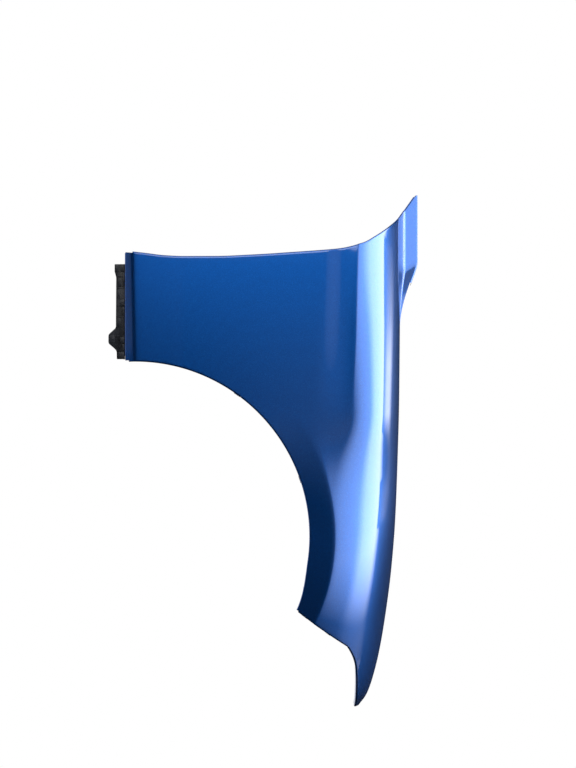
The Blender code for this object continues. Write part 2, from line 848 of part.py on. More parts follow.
def land_shares(folds, skin):
    """Where the middle of each bolt land lies along the hood's flange."""
    runs = len(folds["hood"][0]) - 1
    first = skin.hood_x.index(land_centres()[0]) - COWL_COLUMNS - 1
    return [(first + land * (GAP_COLUMNS + 2)) / runs for land in range(LAND_COUNT)]


def make_brace(parent, folds, finish):
    """A strip across the foot of the leg, welded to the door flange and to the arch lip."""
    door, door_goals = folds["door"]
    arch, arch_goals = folds["arch"]
    rows = []
    for row in range(BRACE_FIRST_ROW, BRACE_FIRST_ROW + BRACE_ROWS):
        lip = len(arch) - 1 - row - (NOTCH_ROWS - 1)
        rear, front = door[row].co.copy(), arch[lip].co.copy()
        across = (front - rear).normalized()
        clear = across * (SHEET + GAP)
        rear += clear - door_goals[row] * FOOT_INSET
        front -= clear + arch_goals[lip] * FOOT_INSET
        low_rear = rear - door_goals[row] * (DOOR_FLANGE - BRACE_HEIGHT)
        low_front = front - arch_goals[lip] * (ARCH_LIP - BRACE_HEIGHT)
        rows.append(rounded([rear, low_rear, low_front, front], BRACKET_RADIUS, FOLD_STEPS))
    mesh = bmesh.new()
    lattice(mesh, rows)
    thicken(add_object("leg_brace", mesh, parent, finish), BRACKET_SHEET, 1)


def make_corner_bracket(name, parent, flange, first, finish):
    """An angle welded inside a flange, which runs on inboard and turns off as a bolting foot."""
    edge, goals = flange
    rows = []
    for number in range(first, first + CORNER_BRACKET_ROWS + 1):
        before, after = edge[max(number - 1, 0)].co, edge[min(number + 1, len(edge) - 1)].co
        goal = goals[number]
        outward = (after - before).cross(goal).normalized()
        low = edge[number].co - outward * (SHEET + GAP) - goal * CORNER_BRACKET_LAP
        high = low + goal * (CORNER_BRACKET_REACH + CORNER_BRACKET_LAP)
        foot = high - outward * CORNER_BRACKET_FOOT
        rows.append(rounded([low, high, foot], BRACKET_RADIUS, FOLD_STEPS))
    mesh = bmesh.new()
    lattice(mesh, rows)
    bracket = add_object(name, mesh, parent, finish)
    thicken(bracket, BRACKET_SHEET)

    centre = rows[0][-1].lerp(rows[-1][-1], 0.5)
    run = (rows[-1][-1] - rows[0][-1]).normalized()
    back = (rows[0][-1] - rows[0][-2]).normalized()
    holes = bmesh.new()
    place = centre - back * CORNER_BRACKET_FOOT / 2
    prism(holes, ring(BRACKET_HOLE / 2, HOLE_SIDES), place, run, back, -HOLE_REACH, HOLE_REACH)
    combine(bracket, name + "_hole", holes, "DIFFERENCE")


def make_nut(name, parent, flange, share, inset, finish):
    """A folded spring nut pushed over the free edge of a flange, with its boss on the inner side."""
    place, right, up = mark(*flange, share, inset)
    up = right.cross(up).cross(right).normalized()
    axis = right.cross(up)
    inner, outer = -SHEET - GAP, GAP
    path = [(-NUT_TAIL, inner), (inset + GAP, inner), (inset + GAP, outer), (-NUT_TAIL, outer)]
    path = rounded(path, (outer - inner) * NUT_BEND_SHARE, FOLD_STEPS)
    rows = [
        [place + right * side * NUT_WIDTH / 2 + up * u + axis * v for u, v in path]
        for side in (-1, 1)
    ]
    mesh = bmesh.new()
    lattice(mesh, rows)
    nut = add_object(name, mesh, parent, finish)
    thicken(nut, NUT_SHEET)

    boss, bore = bmesh.new(), bmesh.new()
    foot = inner - NUT_SHEET
    outline = ring(NUT_BOSS / 2, NUT_FACETS)
    prism(boss, outline, place, right, up, foot - NUT_BOSS_HEIGHT, foot + NUT_SHEET / 2)
    outline = ring(NUT_BORE / 2, NUT_FACETS)
    prism(bore, outline, place, right, up, -HOLE_REACH, HOLE_REACH)
    combine(nut, name + "_boss", boss, "UNION")
    combine(nut, name + "_bore", bore, "DIFFERENCE")


def make_strip(parent, folds, finish):
    """The moulded strip below the sill flange: a top plate, a face with a tab, boxes and ribs."""
    rear, front = (folds["sill"][0][end].co for end in (-1, 0))
    along_sill = (front - rear).normalized()
    edge = rear - INBOARD * (SILL_FLANGE - STRIP_INSET)
    base = edge + along_sill * STRIP_START - UP * GAP

    def block(mesh, low, high, first, last, top, bottom):
        """A box from low to high share of the length, first to last inboard, top to bottom down."""
        outline = [(low, -bottom), (high, -bottom), (high, -top), (low, -top)]
        outline = [(u * STRIP_LENGTH, v) for u, v in outline]
        prism(mesh, outline, base, along_sill, UP, -last, -first)

    mesh, more, holes = bmesh.new(), bmesh.new(), bmesh.new()
    outline = [(u * STRIP_LENGTH, -v * STRIP_DROP) for u, v in STRIP_OUTLINE_SHARES]
    prism(mesh, outline, base, along_sill, UP, -STRIP_WALL, 0)
    bmesh.ops.recalc_face_normals(mesh, faces=mesh.faces)
    block(more, *STRIP_PLATE_SHARES, STRIP_WALL / 3, STRIP_WIDTH, 0, STRIP_WALL)
    for low, high in STRIP_BOX_SHARES:
        drop = STRIP_BOX_DROP_SHARE * STRIP_DROP
        block(more, low, high, -STRIP_BOX_PROUD, STRIP_WALL / 2, STRIP_WALL / 2, drop)
    for share in STRIP_RIB_SHARES:
        drop = STRIP_RIB_DROP_SHARE * STRIP_DROP
        half = STRIP_RIB / STRIP_LENGTH / 2
        block(more, share - half, share + half, STRIP_WALL / 2, STRIP_WIDTH / 2, STRIP_WALL / 2, drop)
    for low, high in STRIP_WINDOW_SHARES:
        top, bottom = (share * STRIP_DROP for share in STRIP_WINDOW_DROP_SHARES)
        block(holes, low, high, -STRIP_WALL, 2 * STRIP_WALL, top, bottom)
    for share in SILL_HOLE_SHARES:
        place = mark(*folds["sill"], share, SILL_HOLE_INSET)[0]
        prism(holes, ring(RIVET_HOLE / 2, HOLE_SIDES), place, FORWARD, INBOARD, -HOLE_REACH, HOLE_REACH)

    strip = add_object("sill_strip", mesh, parent, finish)
    combine(strip, "strip_boxes", more, "UNION")
    combine(strip, "strip_holes", holes, "DIFFERENCE")


def rivet_profile():
    """Radius and height of a push rivet, from the middle of its head round to its point."""
    grip = STRIP_WALL + SHEET + 2 * GAP
    head = [
        (share * RIVET_HEAD / 2, -GAP - drop * RIVET_HEAD_HEIGHT)
        for share, drop in RIVET_HEAD_SHARES
    ]
    pin = [
        (share * RIVET_HOLE / 2, grip + rise * RIVET_POINT) for share, rise in RIVET_PIN_SHARES
    ]
    return [*head, (pin[0][0], -GAP), *pin]


def make_rivet(name, parent, folds, share, finish):
    place = mark(*folds["sill"], share, SILL_HOLE_INSET)[0] - UP * (GAP + STRIP_WALL)
    mesh = bmesh.new()
    edge = [
        mesh.verts.new(place + FORWARD * radius + UP * height) for radius, height in rivet_profile()
    ]
    runs = [mesh.edges.new(pair) for pair in zip(edge, edge[1:])]
    bmesh.ops.spin(mesh, geom=edge + runs, cent=place, axis=UP, angle=math.tau, steps=RIVET_STEPS)
    bmesh.ops.remove_doubles(mesh, verts=mesh.verts, dist=GAP / FOLD_STEPS)
    bmesh.ops.recalc_face_normals(mesh, faces=mesh.faces)
    add_object(name, mesh, parent, finish)


def make_fender():
    fender = bpy.data.objects.new("fender", None)
    bpy.context.scene.collection.objects.link(fender)
    paint = material("body_paint", PAINT_COLOUR, 0.5, 0.3, 1.0)
    plastic = material("black_plastic", PLASTIC_COLOUR, 0.0, 0.5)
    zinc = material("zinc_steel", ZINC_COLOUR, 1.0, 0.35)

    skin = Skin()
    folds = fold_edges(skin)
    middle_land = land_shares(folds, skin)[LAND_COUNT // 2]
    hang = mark(*folds["hood"], middle_land, BOLT_FLANGE_WIDTH / 2)[0] - UP * SHEET

    make_brace(fender, folds, paint)
    ear = int(len(folds["door"][0]) * DOOR_BRACKET_SHARE)
    make_corner_bracket("door_bracket", fender, folds["door"], ear, paint)
    make_corner_bracket("headlamp_bracket", fender, folds["joint"], 0, paint)
    for number, share in enumerate(JOINT_HOLE_SHARES):
        share = middle(folds["joint"][0], share)
        make_nut(f"joint_nut_{number + 1}", fender, folds["joint"], share, JOINT_FLANGE / 2, zinc)
    for number, share in enumerate(ARCH_HOLE_SHARES[1::2]):
        share = middle(folds["arch"][0], share)
        make_nut(f"arch_nut_{number + 1}", fender, folds["arch"], share, ARCH_LIP / 2, zinc)
    make_strip(fender, folds, plastic)
    for number, share in enumerate(SILL_HOLE_SHARES):
        make_rivet(f"sill_rivet_{number + 1}", fender, folds, share, plastic)
    make_panel(fender, folds, skin, paint)
    fender.location = -hang
    return hang


for old in list(bpy.data.objects):
    bpy.data.objects.remove(old)
hang = make_fender()
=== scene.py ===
import math

import bmesh
import bpy
from mathutils import Matrix, Vector


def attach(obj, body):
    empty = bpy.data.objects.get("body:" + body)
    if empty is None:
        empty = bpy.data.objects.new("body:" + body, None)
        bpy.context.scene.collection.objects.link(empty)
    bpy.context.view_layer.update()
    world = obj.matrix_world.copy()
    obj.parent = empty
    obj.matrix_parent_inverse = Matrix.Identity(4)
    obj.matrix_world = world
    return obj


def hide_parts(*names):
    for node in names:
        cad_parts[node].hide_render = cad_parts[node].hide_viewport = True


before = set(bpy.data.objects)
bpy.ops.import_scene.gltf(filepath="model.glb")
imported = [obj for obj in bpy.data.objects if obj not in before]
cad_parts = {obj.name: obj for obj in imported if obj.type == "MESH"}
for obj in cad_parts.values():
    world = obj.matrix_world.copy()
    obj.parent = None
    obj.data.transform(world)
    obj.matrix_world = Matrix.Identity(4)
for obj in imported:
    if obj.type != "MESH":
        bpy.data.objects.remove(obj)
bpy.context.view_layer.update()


# The painted panel: one sheet of 0.8 mm steel, pressed to the car's outer shape, with every edge
# folded back as a flange. Its lines are drawn from the wheel's centre, as they are in the CAD.

WHEEL_CENTRE = Vector((0.04864, -0.19234, -0.50706))
SHEET = 0.0008
FOLD_RADIUS = 0.003
FOLD_STEPS = 8
ARCH_RADIUS = 0.3492
ARCH_FRONT_ANGLE = math.radians(65.3)
JOINT_ANGLE = math.radians(53.2)
ARCH_FLARE = 0.0072
ARCH_FLARE_ANGLE = math.radians(82.0)
CORNER_ANGLE = math.radians(140.0)
BAND_RADIUS = ARCH_RADIUS + 0.052
DOOR_X = -0.5615
LEG_WIDTH = 0.2123
SILL_DROP = 0.0232
SHOULDER_X = DOOR_X - LEG_WIDTH * 0.113
SHOULDER_Z = BAND_RADIUS + 0.0472
HOOD_Z = BAND_RADIUS + 0.138
PILLAR_SWEEP = 0.1166
PILLAR_X = SHOULDER_X - PILLAR_SWEEP * 0.576
TIP_X = SHOULDER_X - PILLAR_SWEEP
HOOD_REAR_X = SHOULDER_X + 0.165
JOINT_FOOT = (ARCH_RADIUS + ARCH_FLARE) * Vector(
    (math.cos(ARCH_FRONT_ANGLE), math.sin(ARCH_FRONT_ANGLE))
)
JOINT_TOP = JOINT_FOOT + 0.134 * Vector((math.cos(JOINT_ANGLE), math.sin(JOINT_ANGLE)))
HEADLAMP_RISE = 0.0213
NOSE_X = JOINT_TOP.x + 0.142
NOSE_TOP_Z = JOINT_TOP.y + HEADLAMP_RISE * 0.9 + 0.005
CREASE_RADIUS = 0.003

# How far inboard the skin goes, and how steeply.
DOOR_BOW = 0.008
NOSE_SWEEP = 0.075
SILL_BOW = 0.010
SILL_BOW_TOP = 0.270
ROLL_DEPTH = 0.150
NOSE_ROLL = 0.058
SHOULDER_LEAN = 0.40
CROWN_LEAN = 0.18
HOLLOW_DEPTH = 0.0024
HOLLOW_HEIGHT = 0.075
BAND_SLOPE = 0.13
TUCK_SLOPE = 0.55

# The lines of the side view, each as shares of its length and of its rise.
DOOR_EDGE = (
    (0.0, -0.0545), (0.088, -0.0322), (0.174, -0.0085), (0.258, 0.0), (0.386, 0.0),
    (0.56, -0.0151), (0.731, -0.0396), (0.903, -0.0688), (0.946, -0.0829), (1.0, -0.113),
)
PILLAR_EDGE = (
    (0.0, 0.0), (0.177, 0.0515), (0.414, 0.169), (0.658, 0.311), (0.912, 0.493), (1.0, 0.576),
)
SHOULDER_FALL = ((0.0, 0.0), (0.224, 0.306), (0.434, 0.79), (0.646, 0.97), (1.0, 1.0))
HOOD_FALL = (
    (0.0, 0.0), (0.2, 0.016), (0.35, 0.05), (0.5, 0.1), (0.63, 0.19),
    (0.76, 0.34), (0.85, 0.48), (0.92, 0.635), (0.97, 0.8), (1.0, 1.0),
)
HEADLAMP_EDGE = (
    (0.0, 0.0), (0.1, 0.37), (0.21, 0.68), (0.32, 0.86),
    (0.49, 0.96), (0.68, 1.0), (0.85, 0.98), (1.0, 0.90),
)


def ease(share):
    """Goes from nought to one with a soft start and end."""
    share = min(max(share, 0.0), 1.0)
    return share * share * (3 - 2 * share)


def mix(first, last, share):
    return first + (last - first) * share


def above_zero(value, radius):
    """The value where it is positive and nought where it is negative, with a rounded corner."""
    return (value + math.hypot(value, radius)) / 2


def along(points, place):
    """Reads a line through points at a place, on a smooth curve that never overshoots them."""
    last = len(points) - 1
    place = min(max(place, points[0][0]), points[last][0])
    rises = [(b[1] - a[1]) / (b[0] - a[0]) for a, b in zip(points, points[1:])]

    def slope(n):
        if n in (0, last):
            return rises[max(n - 1, 0)]
        before, after = rises[n - 1], rises[n]
        return 2 * before * after / (before + after) if before * after > 0 else 0.0

    n = next(n for n in range(last) if place <= points[n + 1][0])
    (start, low), (end, high) = points[n], points[n + 1]
    run = end - start
    t = (place - start) / run
    bend = slope(n) * run * t * (1 - t) ** 2 + slope(n + 1) * run * t * t * (t - 1)
    return low + (high - low) * t * t * (3 - 2 * t) + bend


def door_edge(z):
    if z <= SHOULDER_Z:
        return DOOR_X + LEG_WIDTH * along(DOOR_EDGE, (z + SILL_DROP) / (SHOULDER_Z + SILL_DROP))
    return SHOULDER_X - PILLAR_SWEEP * along(PILLAR_EDGE, (z - SHOULDER_Z) / (HOOD_Z - SHOULDER_Z))


def shoulder_line(x):
    share = (x - SHOULDER_X) / (JOINT_TOP.x - SHOULDER_X)
    return mix(SHOULDER_Z, JOINT_TOP.y, along(SHOULDER_FALL, share))


def hood_share(x):
    return max((x - HOOD_REAR_X) / (NOSE_X - HOOD_REAR_X), 0.0)


def hood_edge(x):
    return mix(HOOD_Z, NOSE_TOP_Z, along(HOOD_FALL, hood_share(x)))


def headlamp_edge(share):
    rise = HEADLAMP_RISE * along(HEADLAMP_EDGE, share)
    return mix(JOINT_TOP.x, NOSE_X, share), JOINT_TOP.y + rise


def crown_line(x):
    """The crease round the wheel arch, carried straight on past both its ends."""
    reach = max(min(x, BAND_RADIUS * 0.45), -BAND_RADIUS * 0.22)
    height = math.sqrt(BAND_RADIUS**2 - reach**2)
    return height - (x - reach) * reach / height


def bulge(share):
    """The roll up to the hood, as a superellipse that stops short of level."""

    def arc(t):
        return 1 - (1 - (0.95 * t) ** 2.2) ** (1 / 2.2)

    return arc(share) / arc(1.0)


def skin_depth(x, z):
    """How far inboard the outer face lies at a place of the side view."""
    # The panel bows in a little to the door and the sill, and sweeps round to the nose.
    depth = DOOR_BOW * (x / SHOULDER_X) ** 2 if x < 0 else NOSE_SWEEP * (x / NOSE_X) ** 2.4
    depth += SILL_BOW * (max(SILL_BOW_TOP - z, 0.0) / (SILL_BOW_TOP + SILL_DROP)) ** 2

    # Above the shoulder it rolls in to the hood. The shoulder's crease fades out towards the
    # front, where the roll starts from the crown over the wheel instead.
    end = -ARCH_RADIUS * 0.57
    shoulder_share = (end - x) / (end - SHOULDER_X)
    haunch = ease((x + ARCH_RADIUS * 0.72) / (ARCH_RADIUS * (0.72 - 0.10)))

    def above(line):
        return min(above_zero(z - line, CREASE_RADIUS) / (hood_edge(x) - line), 1.0)

    lean, crown_lean = SHOULDER_LEAN * ease(shoulder_share), CROWN_LEAN * haunch
    section = lean * above(shoulder_line(x)) + crown_lean * above(crown_line(x))
    start = mix(shoulder_line(x), crown_line(x), haunch)
    section += (1 - lean - crown_lean) * bulge(above(start))
    depth = mix(depth, ROLL_DEPTH + NOSE_ROLL * hood_share(x) ** 1.5, section)

    # A shallow hollow runs under the shoulder's crease.
    below = above_zero(shoulder_line(x) - z, CREASE_RADIUS) / HOLLOW_HEIGHT
    if below < 1:
        depth += HOLLOW_DEPTH * ease(1.8 * shoulder_share) * 6.75 * below * (1 - below) ** 2

    # A band round the wheel opening leans in from its own crease, and the sill is tucked under.
    gap = above_zero(BAND_RADIUS - math.hypot(x, z), CREASE_RADIUS)
    fade = ease((math.radians(132.0) - math.atan2(max(z, 0.0), x)) / math.radians(42.0))
    tuck = 0.018 + 0.005 * (x - DOOR_X) / LEG_WIDTH - SILL_DROP
    return depth + BAND_SLOPE * gap * fade + TUCK_SLOPE * above_zero(tuck - z, 0.004)


# The visual sheet has this many steps for each one of the CAD's.
FINER = 4


def finer(places, parts=FINER):
    """The same places with more between them."""
    result = [
        mix(a, b, part / parts) for a, b in zip(places, places[1:]) for part in range(parts)
    ]
    return [*result, places[-1]]


def land_centres():
    """Where the hood flange has its five lands, each for a bolt or for the locating pins."""
    run = NOSE_X - HOOD_REAR_X
    rear, front = HOOD_REAR_X + 0.095 * run, HOOD_REAR_X + 0.845 * run
    return [mix(rear, front, land / 4) for land in range(5)]


LAND_LENGTH = 0.056

# The first columns along the hood edge belong to the cowl.
COWL_COLUMNS = 8 * FINER


def hood_columns():
    """The places along the hood edge from which the sheet's columns run down."""

    def run(start, end, parts):
        return [mix(start, end, part / parts) for part in range(parts)]

    places = run(PILLAR_X + 0.006, HOOD_REAR_X, 8)
    last = HOOD_REAR_X
    for land, centre in enumerate(land_centres()):
        start, end = centre - LAND_LENGTH / 2, centre + LAND_LENGTH / 2
        places += run(last, start, 3 if land else 2) + run(start, end, 2)
        last = end
    return finer(places + run(last, NOSE_X, 4) + [NOSE_X])


sheet = bmesh.new()
hood_x = hood_columns()
front_land = land_centres()[-1] - LAND_LENGTH / 2
corner = min(range(len(hood_x)), key=lambda n: abs(hood_x[n] - front_land))


def skin_vert(x, z):
    return sheet.verts.new((x, skin_depth(x, z), z))


def fill(columns):
    """Lays faces between neighbouring columns of vertices."""
    for left, right in zip(columns, columns[1:]):
        for low in range(len(left) - 1):
            corners = list(dict.fromkeys((left[low], right[low], right[low + 1], left[low + 1])))
            if len(corners) > 2:
                sheet.faces.new(corners)


def side_columns():
    """Leg and arch: columns fan out from the wheel opening to the door and the shoulder."""
    radius = ARCH_RADIUS + FOLD_RADIUS
    foot = 0.036
    outer_height = SHOULDER_Z + SILL_DROP - FOLD_RADIUS
    inner_height = radius * math.sin(CORNER_ANGLE) + SILL_DROP - FOLD_RADIUS
    heights = [foot * row / 5 for row in range(5)]
    heights += [mix(foot, outer_height, row / 13) for row in range(14)]
    ends = []
    for height in finer(heights)[:-1]:
        z = height - SILL_DROP + FOLD_RADIUS
        inner_z = z - height * (1 - inner_height / outer_height) * height / outer_height
        inner = Vector((-math.sqrt(radius**2 - inner_z**2), inner_z))
        ends.append((inner, Vector((door_edge(z) + FOLD_RADIUS, z))))
    rear = math.atan2(SHOULDER_Z, SHOULDER_X)
    front = math.atan2(JOINT_TOP.y, JOINT_TOP.x)
    for place in hood_x[: corner + 1]:
        share = (place - hood_x[0]) / (hood_x[corner] - hood_x[0])
        x = mix(SHOULDER_X + FOLD_RADIUS, JOINT_TOP.x, share)
        z = shoulder_line(x)
        turn = (math.atan2(z, x) - front) / (rear - front)
        angle = mix(ARCH_FRONT_ANGLE, CORNER_ANGLE, turn)
        flare = ease((ARCH_FLARE_ANGLE - angle) / (ARCH_FLARE_ANGLE - ARCH_FRONT_ANGLE))
        opening = radius + ARCH_FLARE * flare
        inner = Vector((opening * math.cos(angle), opening * math.sin(angle)))
        ends.append((inner, Vector((x, z))))

    # The rows above the crease lie closer together at both their ends.
    spread = [math.tanh(2.6 * (row / 11 - 0.5)) / math.tanh(1.3) / 2 + 0.5 for row in range(12)]
    columns = []
    for start, end in ends:
        run = end - start
        half = start.dot(run) / run.length_squared
        rest = (start.length_squared - BAND_RADIUS**2) / run.length_squared
        crease = start + run * (math.sqrt(half**2 - rest) - half)
        places = [start.lerp(crease, share) for share in finer([0.0, 0.2, 0.5, 0.8, 1.0])]
        places += [crease.lerp(end, share) for share in finer(spread)[1:]]
        columns.append([skin_vert(*place) for place in places])
    fill(columns)
    return columns


def upper_columns():
    """The roll from the shoulder line and the headlamp edge up to the hood edge."""
    tops = [column[-1] for column in side[LEG:]]
    rows = finer([0.0, 0.035, 0.13, 0.28, 0.44, 0.59, 0.72, 0.83, 0.91, 0.965, 1.0])
    columns = []
    for number, place in enumerate(hood_x):
        top = Vector((place, hood_edge(place)))
        if number <= corner:
            low, verts = Vector((tops[number].co.x, tops[number].co.z)), [tops[number]]
        else:
            low = Vector(headlamp_edge((place - hood_x[corner]) / (NOSE_X - hood_x[corner])))
            verts = [skin_vert(*low)]
        drag = max(1 - number / COWL_COLUMNS, 0.0) ** 2
        for share in rows[1:]:
            spot = low.lerp(top, share)
            edge = door_edge(mix(SHOULDER_Z, HOOD_Z, share))
            spot.x += (edge - mix(SHOULDER_X, PILLAR_X, share)) * drag
            verts.append(skin_vert(*spot))
        columns.append(verts)
    fill(columns)
    return columns


def rounded(path, radius, steps):
    """A path of straight runs with an arc at each inner corner."""
    result = [Vector(path[0])]
    for before, bend, after in zip(path, path[1:], path[2:]):
        bend = Vector(bend)
        back, on = (Vector(before) - bend).normalized(), (Vector(after) - bend).normalized()
        half = back.angle(on) / 2
        centre = bend + (back + on).normalized() * radius / math.sin(half)
        first = bend + back * radius / math.tan(half) - centre
        last = bend + on * radius / math.tan(half) - centre
        sweep = math.pi - 2 * half
        for step in range(steps + 1):
            turn = sweep * step / steps
            spoke = first * math.sin(sweep - turn) + last * math.sin(turn)
            result.append(centre + spoke / math.sin(sweep))
    return [*result, Vector(path[-1])]


def cowl_columns():
    """Behind the hood's corner the sheet runs inboard as a shelf and stands up as a riser."""
    riser_height = 0.039
    path = rounded([(0.0, 0.0), (0.052, 0.012), (0.063, riser_height)], 0.009, 8)
    path = finer(path[:2], 8)[1:-1] + path[1:-1] + finer(path[-2:], 6)[1:]
    columns = []
    for number in range(COWL_COLUMNS + 1):
        base = upper[number][-1]
        reach = 1 - number / COWL_COLUMNS
        size = min(reach / 0.484, 1.0) ** 2
        back = (hood_x[0] - TIP_X) * reach
        verts = [base]
        for depth, rise in path:
            if number == COWL_COLUMNS:
                verts.append(base)
            else:
                move = Vector((-back * size * rise / riser_height, depth * size, rise * size))
                verts.append(sheet.verts.new(base.co + move))
        columns.append(verts)
    fill(columns)
    return columns


# The first columns of the side belong to the leg; the others run up to the shoulder line.
LEG = 18 * FINER
side = side_columns()
upper = upper_columns()
cowl = cowl_columns()
sheet.normal_update()


# Every edge of the sheet is folded in as a flange: along the door, the pillar, the cowl, the nose,
# the headlamp, the bumper joint, the wheel arch and the sill. Along the hood it drops into a
# channel and turns inboard again as the flange that bolts on the body, level under each bolt.


def headings(chain):
    """The ways in which the skin runs out over an edge."""
    result = []
    for number, vert in enumerate(chain):
        before, after = chain[max(number - 1, 0)], chain[min(number + 1, len(chain) - 1)]
        result.append(vert.normal.cross(after.co - before.co).normalized())
    return result


def behind(chain, starts, back=0.0):
    """The ways in which a flange stands behind the skin, leaning back and evened along it."""
    goals = [-vert.normal - start * back for vert, start in zip(chain, starts)]
    for _ in range(6 * FINER):
        padded = [goals[0], *goals, goals[-1]]
        goals = [
            (before + goal * 2 + after).normalized()
            for before, goal, after in zip(padded, goals, padded[2:])
        ]
    return goals


def fold(chain, starts, goals, reach, rows=4):
    """Turns the sheet on a small radius from starts to goals, and runs it on by reach(place)."""
    lines = [[vert] for vert in chain]
    for line, start, goal in zip(lines, starts, goals):
        angle = start.angle(goal)
        across = (goal - start * math.cos(angle)).normalized()
        origin = line[0].co.copy()
        for step in range(1, FOLD_STEPS + 1):
            turn = angle * step / FOLD_STEPS
            bend = start * math.sin(turn) + across * (1 - math.cos(turn))
            line.append(sheet.verts.new(origin + bend * FOLD_RADIUS))
        origin = line[-1].co.copy()
        run = reach(origin)
        for row in range(1, rows + 1):
            line.append(sheet.verts.new(origin + goal * run * row / rows))
    fill(lines)
    return [line[-1] for line in lines]


def land_level(x):
    """The height of the hood's bolting flange, which is level on each land."""
    levels = []
    for centre in land_centres():
        level = hood_edge(centre) - 0.024
        levels += [(centre - LAND_LENGTH / 2, level), (centre + LAND_LENGTH / 2, level)]
    return along(levels, x)


DOOR_EARS = (0.2, 0.82)


def door_reach(place):
    """The width of the door flange, which has an ear for a bolt near each end."""
    reach = 0.014
    for share in DOOR_EARS:
        off = abs(place.z - share * SHOULDER_Z) / 0.034
        reach += 0.016 * ease(2.5 * (1 - off))
    return reach


INBOARD = Vector((0, 1, 0))
UP = Vector((0, 0, 1))
hood = [upper[n][-1] for n in range(COWL_COLUMNS + FINER, corner + 2 * FINER + 1)]
hood_start = headings(hood)
chains = {
    "door": [side[n][-1] for n in range(2 * FINER, LEG)] + upper[0][:1],
    "pillar": upper[0][1:] + cowl[0][1:-1],
    "cowl": [column[-1] for column in cowl[: 6 * FINER - 3]],
    "nose": [column[-1] for column in upper[corner + 3 * FINER :]],
    "headlamp": [column[0] for column in upper[: corner - 1 : -1]],
    "joint": side[-1][-2:0:-1],
    "arch": [column[0] for column in side[: FINER - 1 : -1]],
    "sill": side[0][FINER:-1],
}
FLANGE_WIDTHS = {
    "pillar": 0.008, "cowl": 0.012, "nose": 0.008, "headlamp": 0.008,
    "joint": 0.018, "arch": 0.016, "sill": 0.024, "hood": 0.034,
}
folds = {}
for name, chain in chains.items():
    starts = headings(chain)
    if name in ("arch", "sill"):
        goals = [INBOARD] * len(chain)
    else:
        goals = behind(chain, starts, 0.8 if name in ("pillar", "nose", "headlamp") else 0.0)
    reach = door_reach if name == "door" else lambda place: FLANGE_WIDTHS[name]
    folds[name] = (fold(chain, starts, goals, reach), goals)
down = [-UP] * len(hood)
drop = fold(hood, hood_start, down, lambda place: place.z - land_level(place.x) - FOLD_RADIUS)
inboard = [INBOARD] * len(hood)
rail = fold(drop, down, inboard, lambda place: FLANGE_WIDTHS["hood"], rows=6)
folds["hood"] = (rail, inboard)

# The free edge of each flange in its place, and the way in which the flange runs out to it.
flanges = {
    name: ([vert.co + WHEEL_CENTRE for vert in edge], goals)
    for name, (edge, goals) in folds.items()
}


def grown(name, mesh):
    """Makes a mesh an object, in its place from the wheel's centre."""
    data = bpy.data.meshes.new(name)
    bmesh.ops.translate(mesh, verts=mesh.verts, vec=WHEEL_CENTRE)
    mesh.to_mesh(data)
    mesh.free()
    made = bpy.data.objects.new(name, data)
    bpy.context.scene.collection.objects.link(made)
    return made


def only(piece):
    """Leaves this piece alone selected and active."""
    bpy.ops.object.select_all(action="DESELECT")
    piece.select_set(True)
    bpy.context.view_layer.objects.active = piece


panel = grown("painted_panel", sheet)


# The paint: a deep blue base coat full of metal flake under a thick clear lacquer. Inside, the same
# colour lies thin and dull over the grey primer of the dipped body.


def new_material(name):
    made = bpy.data.materials.new(name)
    made.use_nodes = True
    tree = made.node_tree
    return made, tree.nodes, tree.links, tree.nodes["Principled BSDF"]


def node(nodes, kind, **inputs):
    """A new node with its inputs set by name."""
    made = nodes.new(kind)
    for key, value in inputs.items():
        made.inputs[key.replace("_", " ")].default_value = value
    return made


def colour_ramp(nodes, *stops):
    """A ramp through the stops, each given as a place and a colour."""
    ramp = nodes.new("ShaderNodeValToRGB")
    elements = ramp.color_ramp.elements
    while len(elements) < len(stops):
        elements.new(0.5)
    for element, (place, colour) in zip(elements, stops):
        element.position = place
        element.color = (*colour, 1.0)
    return ramp


paint, nodes, links, shader = new_material("blue_flake_lacquer")
spot = nodes.new("ShaderNodeTexCoord")
flake = node(nodes, "ShaderNodeTexVoronoi", Scale=1400.0)
tone = colour_ramp(
    nodes, (0.0, (0.002, 0.044, 0.2)), (0.75, (0.003, 0.064, 0.28)), (1.0, (0.008, 0.1, 0.38))
)
links.new(spot.outputs["Object"], flake.inputs["Vector"])
links.new(flake.outputs["Color"], tone.inputs["Fac"])
links.new(tone.outputs["Color"], shader.inputs["Base Color"])
peel = node(nodes, "ShaderNodeTexNoise", Scale=260.0, Detail=2.0)
peel_bump = node(nodes, "ShaderNodeBump", Strength=0.012, Distance=0.001)
links.new(spot.outputs["Object"], peel.inputs["Vector"])
links.new(peel.outputs["Fac"], peel_bump.inputs["Height"])
links.new(peel_bump.outputs["Normal"], shader.inputs["Coat Normal"])
shader.inputs["Metallic"].default_value = 0.95
shader.inputs["Roughness"].default_value = 0.34
shader.inputs["Coat Weight"].default_value = 1.0
shader.inputs["Coat Roughness"].default_value = 0.03

